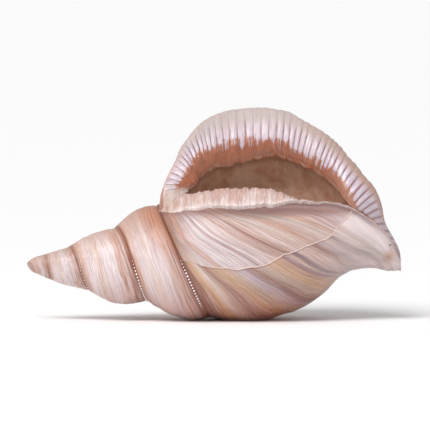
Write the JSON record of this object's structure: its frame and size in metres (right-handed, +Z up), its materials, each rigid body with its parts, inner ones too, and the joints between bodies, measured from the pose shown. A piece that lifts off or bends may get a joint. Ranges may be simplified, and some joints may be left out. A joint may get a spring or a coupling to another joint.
{
  "type": "conch shell",
  "caption": "Spiral sea shell lying on its side, with a tall pointed spire, a wide flared ribbed lip and an open mouth that faces up.",
  "frame": {"origin": "under the centre of the shell's box, at the height of the flat that it rests on", "axes": "+X along the shell's axis from the apex to the canal tip, +Y away from the mouth, +Z up"},
  "size_m": [0.2, 0.0828, 0.1127],
  "materials": {
    "shell": "satin, pearly on the whorls and the lip, matte on the lip's outer edge"
  },
  "bodies": {
    "root": {"shell": "shell"}
  },
  "joints": []
}
